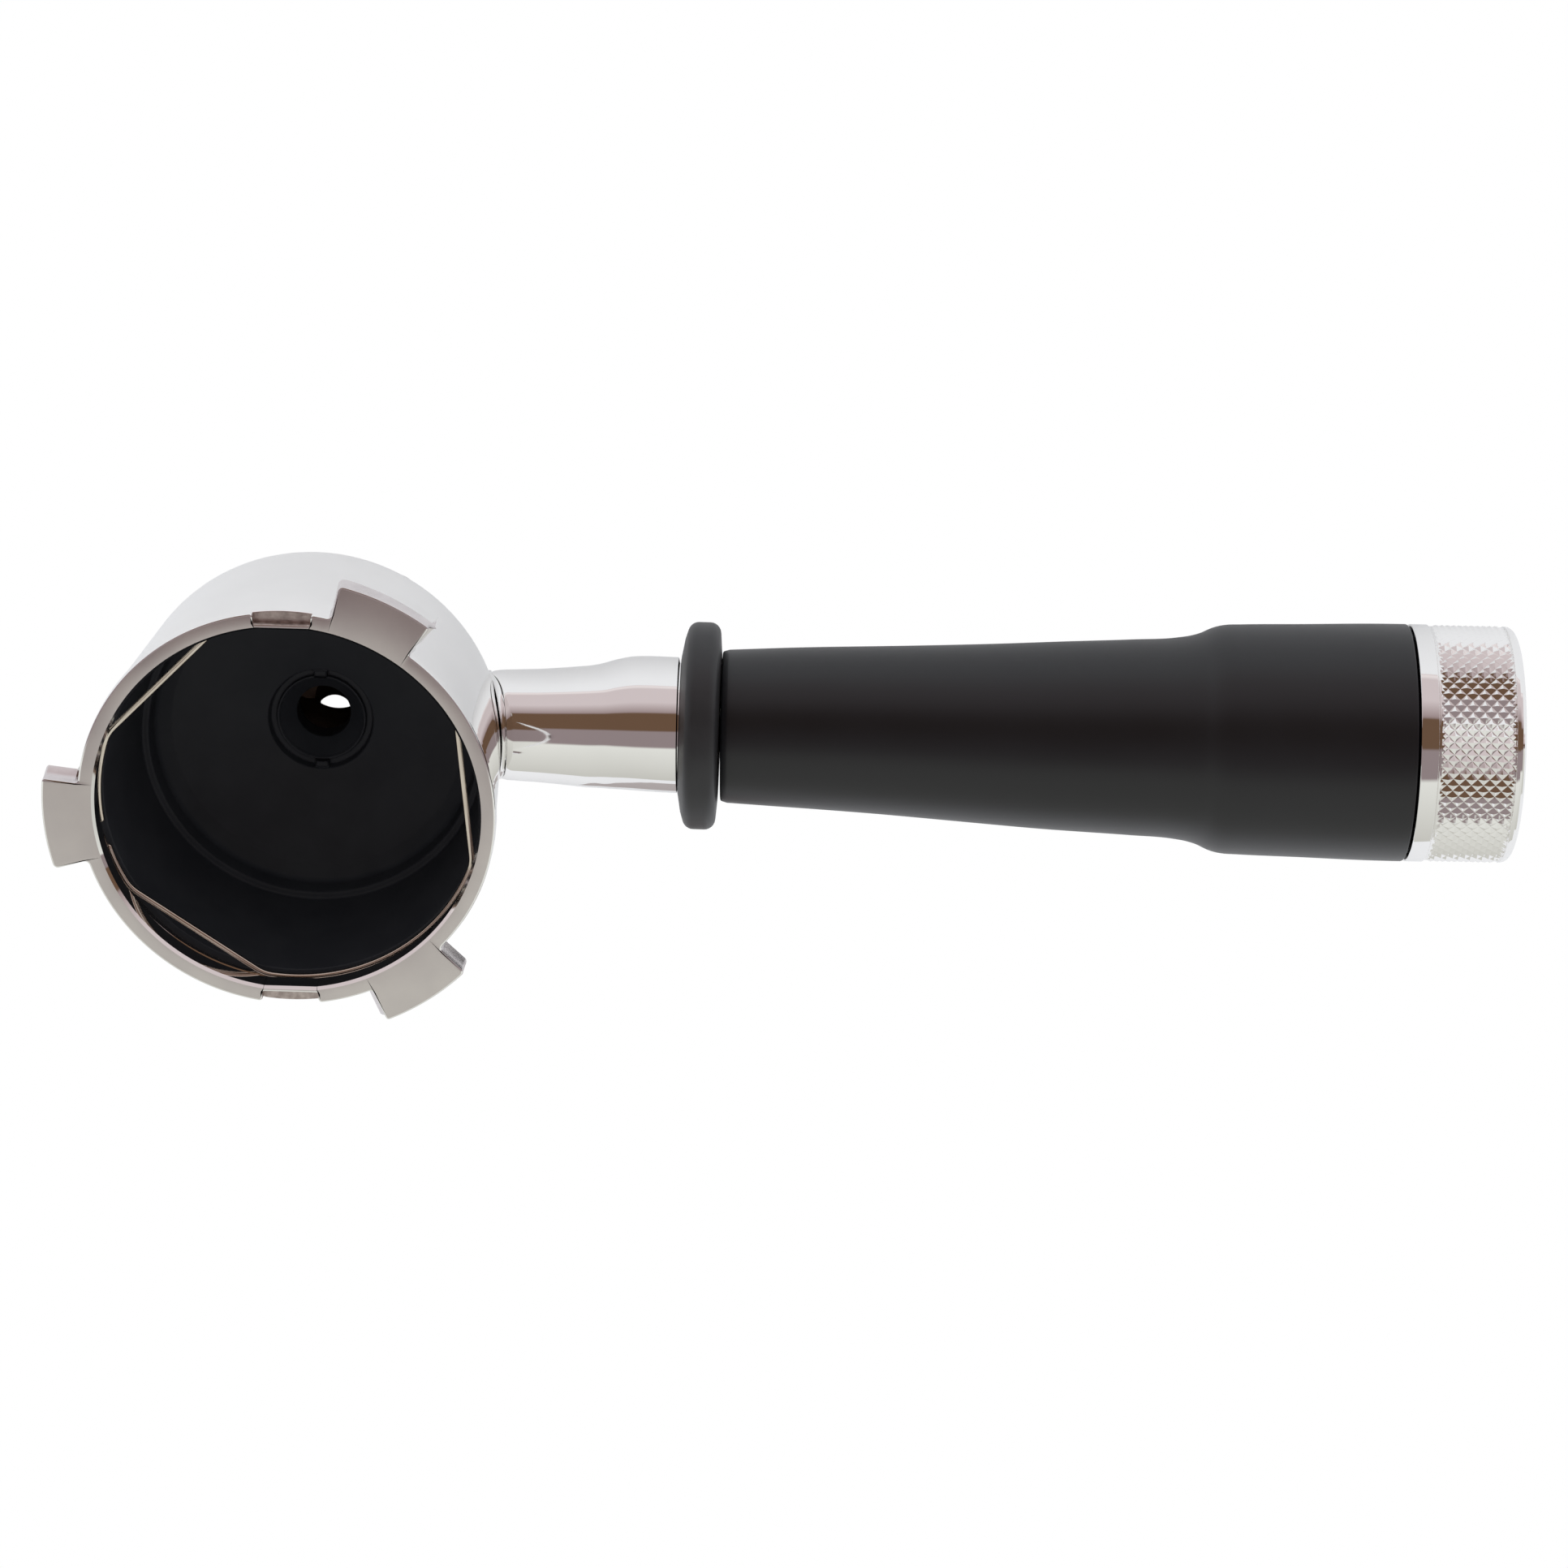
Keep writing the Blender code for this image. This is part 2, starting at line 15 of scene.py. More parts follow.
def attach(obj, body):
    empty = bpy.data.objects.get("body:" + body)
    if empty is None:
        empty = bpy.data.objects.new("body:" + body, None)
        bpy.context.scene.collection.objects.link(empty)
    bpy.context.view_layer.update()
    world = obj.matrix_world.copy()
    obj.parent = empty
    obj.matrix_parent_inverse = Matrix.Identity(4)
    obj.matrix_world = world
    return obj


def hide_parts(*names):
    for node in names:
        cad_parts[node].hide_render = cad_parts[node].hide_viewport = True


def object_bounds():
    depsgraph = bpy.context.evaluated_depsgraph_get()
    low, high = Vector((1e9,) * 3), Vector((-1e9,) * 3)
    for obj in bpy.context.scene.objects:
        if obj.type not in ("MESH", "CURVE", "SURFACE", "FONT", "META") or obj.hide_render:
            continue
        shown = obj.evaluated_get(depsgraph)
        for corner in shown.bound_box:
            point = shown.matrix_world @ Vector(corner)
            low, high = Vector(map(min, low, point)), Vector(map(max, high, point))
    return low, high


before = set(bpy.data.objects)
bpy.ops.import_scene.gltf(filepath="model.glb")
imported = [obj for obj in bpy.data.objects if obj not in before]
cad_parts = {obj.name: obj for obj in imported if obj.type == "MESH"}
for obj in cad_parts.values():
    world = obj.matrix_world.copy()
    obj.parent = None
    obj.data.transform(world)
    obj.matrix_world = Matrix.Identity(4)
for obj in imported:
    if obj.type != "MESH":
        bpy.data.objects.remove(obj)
MM = 0.001
cad_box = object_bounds()

# ----------------------------------------------------------------------------------------------------
# The studio: a long lens high in front of the mouth, rolled so that the cup's foot points up the picture,
# over a white table in a soft tent. The tent is lined in a few tones, with a dark slot for the camera, and
# only polished pieces show the lining: everything else is lit by its even white.

scene = bpy.context.scene
scene.view_settings.view_transform = "Standard"

camera = bpy.data.objects.new("camera", bpy.data.cameras.new("camera"))
camera.location = (0.0926, 0.2484, 0.6259)
aim = Vector((0.07284, -0.0011, -0.020)) - camera.location
roll = Quaternion((0, 0, 1), math.radians(-174.13))
camera.rotation_mode = "QUATERNION"
camera.rotation_quaternion = aim.to_track_quat("-Z", "Y") @ roll
camera.data.sensor_width = 36
camera.data.lens = 105.15
camera.data.clip_start, camera.data.clip_end = 0.01, 20
scene.collection.objects.link(camera)
scene.camera = camera


def link(tree, source, target):
    """Joins one socket to another."""
    tree.links.new(source, target)


def ramp(tree, source, stops):
    """A colour ramp on a 0 to 1 value, through (place, colour) stops."""
    node = tree.nodes.new("ShaderNodeValToRGB")
    link(tree, source, node.inputs["Fac"])
    elements = node.color_ramp.elements
    for place, colour in stops[2:]:
        elements.new(place)
    for element, (place, colour) in zip(elements, sorted(stops)):
        element.position = place
        element.color = (*colour, 1)
    return node.outputs["Color"]


def math_node(tree, operation, *values):
    """A Math node on sockets or numbers."""
    node = tree.nodes.new("ShaderNodeMath")
    node.operation = operation
    for slot, value in zip(node.inputs, values):
        if isinstance(value, (int, float)):
            slot.default_value = value
        else:
            link(tree, value, slot)
    return node.outputs[0]


tent = bpy.data.worlds.new("tent")
tent.use_nodes = True
scene.world = tent
tree = tent.node_tree
backdrop = tree.nodes["Background"]
direction = tree.nodes.new("ShaderNodeTexCoord").outputs["Generated"]
split = tree.nodes.new("ShaderNodeSeparateXYZ")
link(tree, direction, split.inputs[0])
turn = math_node(tree, "ARCTAN2", split.outputs["Z"], split.outputs["Y"])
turn = math_node(tree, "MULTIPLY_ADD", turn, 0.5 / math.pi, 0.5)
# Degrees round the handle's direction, from the horizon on the +Y side over the top: tone of the lining
PINK, ROSE, BROWN = (0.68, 0.60, 0.61), (0.36, 0.28, 0.28), (0.150, 0.088, 0.055)
MAUVE, CREAM, SAND = (0.30, 0.245, 0.25), (0.82, 0.83, 0.79), (0.62, 0.62, 0.58)
bands = [(-180, SAND), (-2, PINK), (2, (0.92, 0.86, 0.86)), (5, PINK), (28, PINK), (44.5, ROSE)]
bands += [(46.5, BROWN), (74.5, BROWN), (77, MAUVE), (104, MAUVE), (108, CREAM), (180, SAND)]
lining_tone = ramp(tree, turn, [(0.5 + angle / 360, colour) for angle, colour in bands])
path = tree.nodes.new("ShaderNodeLightPath")
even = tree.nodes.new("ShaderNodeMix")
even.data_type = "RGBA"
link(tree, path.outputs["Is Glossy Ray"], even.inputs["Factor"])
even.inputs["A"].default_value = (0.93, 0.94, 0.96, 1)
link(tree, lining_tone, even.inputs["B"])
seen = tree.nodes.new("ShaderNodeMix")
seen.data_type = "RGBA"
link(tree, path.outputs["Is Camera Ray"], seen.inputs["Factor"])
link(tree, even.outputs["Result"], seen.inputs["A"])
seen.inputs["B"].default_value = (1, 1, 1, 1)
link(tree, seen.outputs["Result"], backdrop.inputs["Color"])
if hasattr(tent, "cycles"):
    tent.cycles.sampling_method = "NONE"

TABLE_HALF = 3000.0
table_z = cad_box[0].z / MM
corners = np.array([(-1, -1), (1, -1), (1, 1), (-1, 1)]) * TABLE_HALF
sheet = bpy.data.meshes.new("table")
sheet.from_pydata(np.column_stack([corners, np.full(4, table_z)]) * MM, [], [(0, 1, 2, 3)])
table = bpy.data.objects.new("table", sheet)
scene.collection.objects.link(table)
white = bpy.data.materials.new("white_table")
white.use_nodes = True
tree = white.node_tree
tree.nodes["Principled BSDF"].inputs["Base Color"].default_value = (0.98, 0.985, 0.99, 1)
tree.nodes["Principled BSDF"].inputs["Roughness"].default_value = 1.0
tree.nodes["Principled BSDF"].inputs["Specular IOR Level"].default_value = 0.0
glow = tree.nodes.new("ShaderNodeEmission")
burnt_out = tree.nodes.new("ShaderNodeMixShader")
link(tree, tree.nodes.new("ShaderNodeLightPath").outputs["Is Camera Ray"], burnt_out.inputs[0])
link(tree, tree.nodes["Principled BSDF"].outputs[0], burnt_out.inputs[1])
link(tree, glow.outputs[0], burnt_out.inputs[2])
link(tree, burnt_out.outputs[0], tree.nodes["Material Output"].inputs["Surface"])
sheet.materials.append(white)

# A warm grey sheet lies on the table along the handle's -Y side. It shows only in reflections, as painted
# shade: a dark patch where the polished neck would otherwise reflect the white table.
shade_sheet_corners = np.array([(34, -230), (66, -230), (66, -52), (34, -52)], float)
shade_sheet_mesh = bpy.data.meshes.new("shade_sheet")
shade_sheet_points = np.column_stack([shade_sheet_corners, np.full(4, table_z + 0.5)]) * MM
shade_sheet_mesh.from_pydata(shade_sheet_points, [], [(0, 1, 2, 3)])
shade_sheet = bpy.data.objects.new("shade_sheet", shade_sheet_mesh)
scene.collection.objects.link(shade_sheet)
painted_shade_grey = bpy.data.materials.new("painted_shade_grey")
painted_shade_grey.use_nodes = True
# this grey is painted shade, seen only in reflections
painted_shade_grey.node_tree.nodes["Principled BSDF"].inputs["Base Color"].default_value = (0.52, 0.47, 0.46, 1)
painted_shade_grey.node_tree.nodes["Principled BSDF"].inputs["Roughness"].default_value = 1.0
shade_sheet_mesh.materials.append(painted_shade_grey)
shade_sheet.visible_camera = False
shade_sheet.visible_diffuse = False
shade_sheet.visible_shadow = False

# ----------------------------------------------------------------------------------------------------
# Cup body: cast brass, turned and chrome-plated. A tapered bowl with a round foot and a threaded stub, a
# turned rim with three bayonet lugs and two milled notches, and the boss and spigot of the handle's neck.


def node_group(name, inputs, outputs):
    """An empty shader node group with float inputs {name: value} and outputs {name: socket type}."""
    made = bpy.data.node_groups.new(name, "ShaderNodeTree")
    for label, value in inputs.items():
        made.interface.new_socket(label, in_out="INPUT", socket_type="NodeSocketFloat").default_value = value
    for label, kind in outputs.items():
        made.interface.new_socket(label, in_out="OUTPUT", socket_type=kind)
    return made, made.nodes.new("NodeGroupInput"), made.nodes.new("NodeGroupOutput")


def noise(tree, scale, detail=2.0):
    """Noise on Object coordinates, about 0.5 on average; scale is in waves per metre."""
    place = tree.nodes.new("ShaderNodeTexCoord").outputs["Object"]
    node = tree.nodes.new("ShaderNodeTexNoise")
    node.inputs["Detail"].default_value = detail
    link(tree, place, node.inputs["Vector"])
    if isinstance(scale, (int, float)):
        node.inputs["Scale"].default_value = scale
    else:
        link(tree, scale, node.inputs["Scale"])
    return node.outputs["Fac"]


# Uneven polish and faint handling marks: a roughness that drifts between two values, and a shallow ripple.
marks, given, result = node_group(
    "handling_marks",
    {"Scale": 60.0, "Polished": 0.05, "Dull": 0.12},
    {"Roughness": "NodeSocketFloat", "Tone": "NodeSocketFloat", "Ripple": "NodeSocketFloat"},
)
drift = noise(marks, given.outputs["Scale"], 4.0)
span = math_node(marks, "SUBTRACT", given.outputs["Dull"], given.outputs["Polished"])
roughness = math_node(marks, "MULTIPLY_ADD", drift, span, given.outputs["Polished"])
link(marks, roughness, result.inputs["Roughness"])
link(marks, drift, result.inputs["Tone"])
link(marks, noise(marks, 45.0, 1.0), result.inputs["Ripple"])


def finish(name, light, dark, metallic, polished, dull, scale, ripple=0.0, grain=0.0, grain_scale=9000.0):
    """A material whose colour and roughness drift between two values, with a slow ripple and a grain."""
    made = bpy.data.materials.new(name)
    made.use_nodes = True
    tree = made.node_tree
    shader = tree.nodes["Principled BSDF"]
    shader.inputs["Metallic"].default_value = metallic
    group = tree.nodes.new("ShaderNodeGroup")
    group.node_tree = marks
    group.inputs["Scale"].default_value = scale
    group.inputs["Polished"].default_value = polished
    group.inputs["Dull"].default_value = dull
    tint = ramp(tree, group.outputs["Tone"], [(0.35, dark), (0.65, light)])
    link(tree, tint, shader.inputs["Base Color"])
    link(tree, group.outputs["Roughness"], shader.inputs["Roughness"])
    height = math_node(tree, "MULTIPLY", group.outputs["Ripple"], ripple)
    height = math_node(tree, "MULTIPLY_ADD", noise(tree, grain_scale), grain, height)
    bump = tree.nodes.new("ShaderNodeBump")
    bump.inputs["Distance"].default_value = MM
    bump.inputs["Strength"].default_value = 1.0
    link(tree, height, bump.inputs["Height"])
    link(tree, bump.outputs["Normal"], shader.inputs["Normal"])
    return made


as_cast = finish("as_cast", (0.72, 0.68, 0.68), (0.64, 0.60, 0.60), 1.0, 0.24, 0.34, 300.0, 0, 0.006, 2500)
chrome = finish("polished_chrome", (0.90, 0.89, 0.88), (0.86, 0.85, 0.84), 1.0, 0.02, 0.06, 50.0, 0.012)
turned_face = finish("turned_face", (0.66, 0.62, 0.60), (0.58, 0.54, 0.53), 1.0, 0.30, 0.40, 90.0, 0.0, 0.002)
rough_cut = finish("rough_cut", (0.62, 0.55, 0.52), (0.40, 0.34, 0.32), 1.0, 0.32, 0.55, 900, 0, 0.05, 1500)


def outline(corners, closed=True):
    """Points along straight runs between corners (a, b, round): each corner is an arc touching both runs."""
    spots = np.array([corner[:2] for corner in corners], float)
    pieces = []
    for i, (a, b, rounding) in enumerate(corners):
        if rounding == 0 or (not closed and i in (0, len(corners) - 1)):
            pieces.append(spots[i : i + 1])
            continue
        back = spots[i - 1] - spots[i]
        on = spots[(i + 1) % len(spots)] - spots[i]
        back, on = back / np.linalg.norm(back), on / np.linalg.norm(on)
        half = math.acos(np.clip(back @ on, -1, 1)) / 2
        middle = back + on
        centre = spots[i] + middle / np.linalg.norm(middle) * rounding / math.sin(half)
        touches = spots[i] + np.array([back, on]) * rounding / math.tan(half) - centre
        start, end = np.arctan2(touches[:, 1], touches[:, 0])
        sweep = (end - start + math.pi) % math.tau - math.pi
        turns = start + sweep * np.linspace(0, 1, 24 if rounding > 3 else 7)
        pieces.append(centre + rounding * np.column_stack([np.cos(turns), np.sin(turns)]))
    points = np.concatenate(pieces)
    return np.concatenate([points, points[:1]]) if closed else points


def skin(rings):
    """Points and faces of a surface through rings (rows of points), each ring closed on itself."""
    count, steps = rings.shape[:2]
    number = np.arange(count * steps).reshape(count, steps)
    low, high = number[:-1], number[1:]
    faces = np.stack([low, np.roll(low, -1, 1), np.roll(high, -1, 1), high], -1)
    return rings.reshape(-1, 3), faces.reshape(-1, 4)


def together(*skins):
    """Several (points, faces) as one."""
    firsts = np.cumsum([0] + [len(points) for points, faces in skins[:-1]])
    shifted = [faces + first for (points, faces), first in zip(skins, firsts)]
    return np.concatenate([points for points, faces in skins]), np.concatenate(shifted)


def turned(profile, steps=180):
    """A (radius, height) profile carried round the Z axis: x and y are the radius times cosine and sine."""
    turns = np.linspace(0, math.tau, steps, endpoint=False)
    radius, height = profile[:, :1], profile[:, 1:]
    return skin(np.stack([radius * np.cos(turns), radius * np.sin(turns), height + 0 * turns], -1))


def mesh_of(name, points, faces, sharp_deg=32):
    """A closed mesh from points in mm: doubles merged, faces outwards, real corners sharp."""
    mesh = bpy.data.meshes.new(name)
    mesh.from_pydata(points * MM, [], faces.tolist())
    shape = bmesh.new()
    shape.from_mesh(mesh)
    bmesh.ops.remove_doubles(shape, verts=shape.verts, dist=1e-7)
    bmesh.ops.recalc_face_normals(shape, faces=shape.faces)
    shape.to_mesh(mesh)
    shape.free()
    mesh.shade_smooth()
    mesh.set_sharp_from_angle(angle=math.radians(sharp_deg))
    return mesh


def place(name, mesh, surface, body, slot, *nodes):
    """Puts a mesh in the scene as a piece that rides on a body and stands for its CAD nodes."""
    piece = bpy.data.objects.new(name, mesh)
    scene.collection.objects.link(piece)
    mesh.materials.append(surface)
    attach(piece, body)
    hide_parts(*nodes)
    return piece


def bowl_radius(z):
    """The bowl's outer radius: a straight taper, then a quarter round that ends 12.8 from the axis at -48."""
    taper = 30.9 + 2.1 * z / 32
    arch = 12.8 + np.sqrt(np.maximum(256 - (np.minimum(z, -32) + 32) ** 2, 0))
    return np.where(z > -32, taper, arch)


NOTCH_HALF, NOTCH_Y, NOTCH_FLOOR = 4.2, 29.1, -1.3
bowl_wall = [(29.0, NOTCH_FLOOR, 0), (30.9, NOTCH_FLOOR, 0.2), (27.76, -48, 15.4), (9.0, -48, 0.4)]
bowl_wall += [(8.2, -48.7, 0), (8.2, -59.4, 0), (7.6, -60, 0), (5.6, -60, 0.2), (5.6, -46.6, 0.5)]
bowl_wall += [(26.3, -46.6, 14.0), (29.09, -6.2, 0), (29.6, -6.2, 0), (29.6, -3.3, 0), (29.0, -3.0, 0)]
bowl = turned(outline(bowl_wall), 240)

LUGS_DEG, LUG_HALF_DEG, LUG_R, RIM_R = (65.0, 185.0, 305.0), 11.5, 36.3, 31.0
LEAD_IN_FLARE, END_FLARE = 1.2, 0.3


def polar(radius, degrees):
    """x and y at a radius and an angle."""
    return radius * math.cos(math.radians(degrees)), radius * math.sin(math.radians(degrees))


def rim_arc(start, end):
    """Plain corners along the rim between two directions, about 1.5 degrees apart."""
    count = max(2, round((end - start) / 1.5))
    return [(*polar(RIM_R, start + (end - start) * i / count), 0) for i in range(1, count)]


def rim_plan():
    """The rim's outline seen from above: arcs, three round-cornered lugs and two flat-bottomed notches."""
    notch_deg = math.degrees(math.asin(NOTCH_HALF / RIM_R))
    features = [("lug", angle, LUG_HALF_DEG) for angle in LUGS_DEG]
    features += [("notch", 90.0, notch_deg), ("notch", 270.0, notch_deg)]
    features.sort(key=lambda feature: feature[1])
    corners = []
    for number, (kind, angle, half) in enumerate(features):
        if kind == "lug":
            corners += [(*polar(RIM_R, angle - half), 0.5), (*polar(LUG_R, angle - half), 0.5)]
            corners += [(*polar(LUG_R, angle - half + 1.5 * i), 0) for i in range(1, 15)]
            corners += [(*polar(LUG_R, angle + half), 0.8), (*polar(RIM_R, angle + half), 0.75)]
        else:
            side = 1 if angle < 180 else -1
            inner = [(side * NOTCH_HALF, side * NOTCH_Y, 0.3), (-side * NOTCH_HALF, side * NOTCH_Y, 0.3)]
            corners += [(*polar(RIM_R, angle - half), 0.5), *inner, (*polar(RIM_R, angle + half), 0.5)]
        after = features[(number + 1) % len(features)]
        corners += rim_arc(angle + half, after[1] - after[2] + (360 if after[1] < angle else 0))
    return outline(corners)[:-1]


def rim_ring():
    """The rim as the plan outline times a section: lip, top face, rounded edge, outer face and underside.

    The section's outer points are offset from the plan along its own normal. The lugs' undersides drop
    evenly from one end to the other, and their sides spread along the rim below the top edge.
    """
    plan = rim_plan()
    along = np.roll(plan, -1, 0) - np.roll(plan, 1, 0)
    along /= np.linalg.norm(along, axis=1)[:, None]
    normal = np.column_stack([along[:, 1], -along[:, 0]])
    radius = np.linalg.norm(plan, axis=1)
    radial = plan / radius[:, None]
    turn = np.degrees(np.arctan2(plan[:, 1], plan[:, 0])) % 360
    on_lug = radius > RIM_R + 0.02
    past = (turn - (LUGS_DEG[0] - LUG_HALF_DEG)) % 120
    under = np.where(on_lug, -3.0 - past / (2 * LUG_HALF_DEG), -2.4)
    sideways = normal[:, 1] * radial[:, 0] - normal[:, 0] * radial[:, 1]
    flare = np.where(sideways < 0, LEAD_IN_FLARE * sideways, END_FLARE * sideways) * on_lug
    spread = flare[:, None] * np.column_stack([-radial[:, 1], radial[:, 0]])

    def ring(points, height):
        """A row of the section: the plan's points at a height."""
        return np.column_stack([points, height + np.zeros(len(plan))])

    rings = [ring(28.5 * radial, -3.6), ring(28.5 * radial, -0.45), ring(28.9 * radial, 0)]
    rings += [ring(plan - 0.28 * normal, 0), ring(plan - 0.08 * normal, -0.08), ring(plan, -0.28)]
    for share, depth in ((0.02, 0.3), (0.15, 0.45), (0.42, 0.6), (0.75, 0.75), (1.0, 0.9)):
        rings.append(ring(plan + share * spread, depth * under))
    rings += [ring(plan + spread - 0.3 * normal, under)]
    rings += [ring(29.9 * radial, under), ring(29.9 * radial, -3.6), ring(28.5 * radial, -3.6)]
    return skin(np.stack(rings))


HANDLE_Z, DROP = -38.5, math.radians(1.4)


def along_handle(skinned):
    """Lays a piece turned about Z along the handle: its z becomes the station s, its x points down."""
    points, faces = skinned
    down, side, s = points.T
    x = s * math.cos(DROP) - down * math.sin(DROP)
    z = HANDLE_Z - s * math.sin(DROP) - down * math.cos(DROP)
    return np.column_stack([x, side, z]), faces


BOSS_R = 8.45
BOSS_DROP = 0.66  # how far the handle's line has dropped where it reaches the bowl
BOSS_LEAST_END = 26.5


def wall_at(reach, turns):
    """How far along the handle the bowl's surface lies, at a reach from the handle's axis."""
    height = HANDLE_Z - BOSS_DROP - reach * np.cos(turns)
    across = reach * np.sin(turns)
    return np.sqrt(np.maximum(bowl_radius(np.maximum(height, -47.95)) ** 2 - across**2, 1))


def fillet_at(turns):
    """The radius of the boss's fillet: 0.9 at its sides and under it, 0.35 on top."""
    return 0.9 - 0.55 * np.clip(-np.cos(turns), 0, 1) ** 2


def boss_end(turns):
    """Where the neck meets the boss: just past the fillet, but never nearer than 26.5 along the handle."""
    return np.maximum(wall_at(BOSS_R, turns) + fillet_at(turns) + 0.15, BOSS_LEAST_END)


def boss():
    """The handle's boss: a short bar whose foot spreads in a fillet onto the bowl, and the spigot.

    The fillet's point at quarter turn q is bar radius + f (1 - sin q) out from the axis and f (1 - cos q)
    off the bowl's surface. The bar's end follows the bowl, so the joint with the neck is a saddle.
    """
    turns = np.linspace(0, math.tau, 120, endpoint=False)
    fillet, end = fillet_at(turns), boss_end(turns)

    def ring(reach, station):
        """A row of the boss: a reach from the handle's axis at a station along it."""
        reach = reach + 0 * turns
        return np.column_stack([reach * np.cos(turns), reach * np.sin(turns), station + 0 * turns])

    rings = [ring(share * BOSS_R, wall_at(share * BOSS_R, turns) - 0.7) for share in (0, 0.3, 0.6, 0.9)]
    for quarter in np.radians(np.linspace(0, 90, 9)):
        reach = BOSS_R + fillet * (1 - math.sin(quarter))
        rings.append(ring(reach, wall_at(reach, turns) + fillet * (1 - math.cos(quarter))))
    rings += [ring(BOSS_R, end - 0.12), ring(8.3, end), ring(6.2, end)]
    rings += [ring(6.2, 42.6), ring(5.8, 43.0), ring(0, 43.0)]
    return along_handle(skin(np.stack(rings)))


cup_mesh = mesh_of("cup_body", *together(rim_ring(), bowl, boss()))
place("cup_body", cup_mesh, chrome, "holder", "polished_chrome", "cup_body")
cup_mesh.materials.append(turned_face)
cup_mesh.materials.append(rough_cut)
cup_mesh.materials.append(as_cast)
centres = np.array([face.center for face in cup_mesh.polygons]) / MM
facing = np.array([face.normal for face in cup_mesh.polygons])
in_notch = (np.abs(centres[:, 0]) < NOTCH_HALF + 0.2) & (np.abs(centres[:, 1]) > NOTCH_Y - 0.1)
in_notch &= (centres[:, 2] > NOTCH_FLOOR - 0.02) & (centres[:, 2] < -0.05)
on_top = (centres[:, 2] > -0.02) & (facing[:, 2] > 0.9)
on_side = (np.hypot(centres[:, 0], centres[:, 1]) > 31.15) & (centres[:, 2] < -0.1) & (centres[:, 2] > -4.2)
on_side &= np.abs(facing[:, 2]) < 0.7
kinds = on_top * 1 + in_notch * 2 + on_side * 3
cup_mesh.polygons.foreach_set("material_index", kinds.astype(np.int32))

# ----------------------------------------------------------------------------------------------------
# Cup liner: moulded black plastic pressed into the bowl, with a ledge, a shallow funnel and a raised boss
# ring round the outlet. A narrow moat runs round the boss, bridged in two places.

lining = finish("lining", (0.025, 0.026, 0.030), (0.020, 0.021, 0.025), 0, 0.46, 0.58, 150.0, 0, 0.004)
lining.node_tree.nodes["Principled BSDF"].inputs["Specular IOR Level"].default_value = 0.2


def eased(value, start, end):
    """0 before start, 1 after end, and smooth between them: 3 t t - 2 t t t of the share t."""
    share = np.clip((value - start) / (end - start), 0, 1)
    return share * share * (3 - 2 * share)


def liner():
    """The lining's section carried round the axis, with the moat's floor raised over the two bridges."""
    wall = [(29.1, -6.8, 0), (27.15, -32, 0), (26.0, -34.2, 0), (24.4, -36.9, 0), (9.4, -42.0, 0)]
    wall += [(9.0, -42.8, 0), (5.25, -42.8, 0), (5.25, -47.0, 0), (4.2, -47.0, 0.2), (4.2, -43.0, 0.5)]
    wall += [(6.4, -40.5, 0.6)]
    wall += [(6.9, -39.6, 0.2), (7.0, -40.7, 0.2), (7.9, -40.7, 0.2), (8.2, -39.35, 0.3), (22.6, -35.4, 1.5)]
    wall += [(25.0, -33.8, 1.6), (25.4, -30.3, 0.4), (26.45, -30.3, 0.4), (28.25, -6.8, 0.2)]
    profile = outline(wall)
    points, faces = turned(profile, 240)
    radius = np.hypot(points[:, 0], points[:, 1])
    off_bridge = np.abs(np.abs(np.degrees(np.arctan2(points[:, 1], points[:, 0]))) - 90)
    bridge = 1 - eased(off_bridge, 7.0, 9.0)
    moat = (radius > 6.85) & (radius < 8.1) & (points[:, 2] < -40)
    points[:, 2] += np.where(moat, 1.1 * bridge, 0)
    return points, faces


place("cup_liner", mesh_of("cup_liner", *liner()), lining, "holder", "lining_plastic", "cup_liner")

# ----------------------------------------------------------------------------------------------------
# Basket spring: one length of drawn wire bent to three flats, sprung into the groove under the rim, its two
# rounded ends left apart.

spring_steel = finish("spring_steel", (0.74, 0.68, 0.60), (0.60, 0.52, 0.44), 1.0, 0.14, 0.24, 120.0)


def swept(path, radius, upright, sides=12):
    """A round bar along a path: at each point a circle across the path, shrunk to a dome at both ends."""
    along = np.gradient(path, axis=0)
    along /= np.linalg.norm(along, axis=1)[:, None]
    across = np.cross(upright, along)
    across /= np.linalg.norm(across, axis=1)[:, None]
    up = np.cross(along, across)
    turns = np.linspace(0, math.tau, sides, endpoint=False)[:, None]
    circle = across[:, None] * np.cos(turns) + up[:, None] * np.sin(turns)
    body = path[:, None] + radius * circle
    dome = np.radians([90, 60, 30])
    sunk, drawn_in = radius * np.sin(dome), radius * np.cos(dome)
    first = [path[0] - a * along[0] + b * circle[0] for a, b in zip(sunk, drawn_in)]
    last = [path[-1] + a * along[-1] + b * circle[-1] for a, b in zip(sunk[::-1], drawn_in[::-1])]
    return skin(np.concatenate([np.stack(first), body, np.stack(last)]))


def wire_path():
    """Points at equal angles: 28.6 from the axis, or on a flat 26.0 from it, with the bends eased."""
    turn = np.radians(np.linspace(197, 548, 480))
    radius = np.full(len(turn), 28.6)
    for flat in np.radians([135.5, 5.5, 236]):
        facing = np.maximum(np.cos(turn - flat), 0.5)
        radius = np.minimum(radius, 26.0 / facing)
    radius = np.convolve(np.pad(radius, 3, mode="edge"), np.ones(7) / 7, mode="valid")
    return np.column_stack([radius * np.cos(turn), radius * np.sin(turn), np.full(len(turn), -4.9)])


wire = mesh_of("basket_spring", *swept(wire_path(), 0.45, (0, 0, 1)))
place("basket_spring", wire, spring_steel, "holder", "spring_steel", "basket_spring")

# ----------------------------------------------------------------------------------------------------
# Spout lock nut and gasket: a thin zinc-plated hexagon nut that jams the spout, over a flat rubber ring, both
# on the cup's threaded stub.

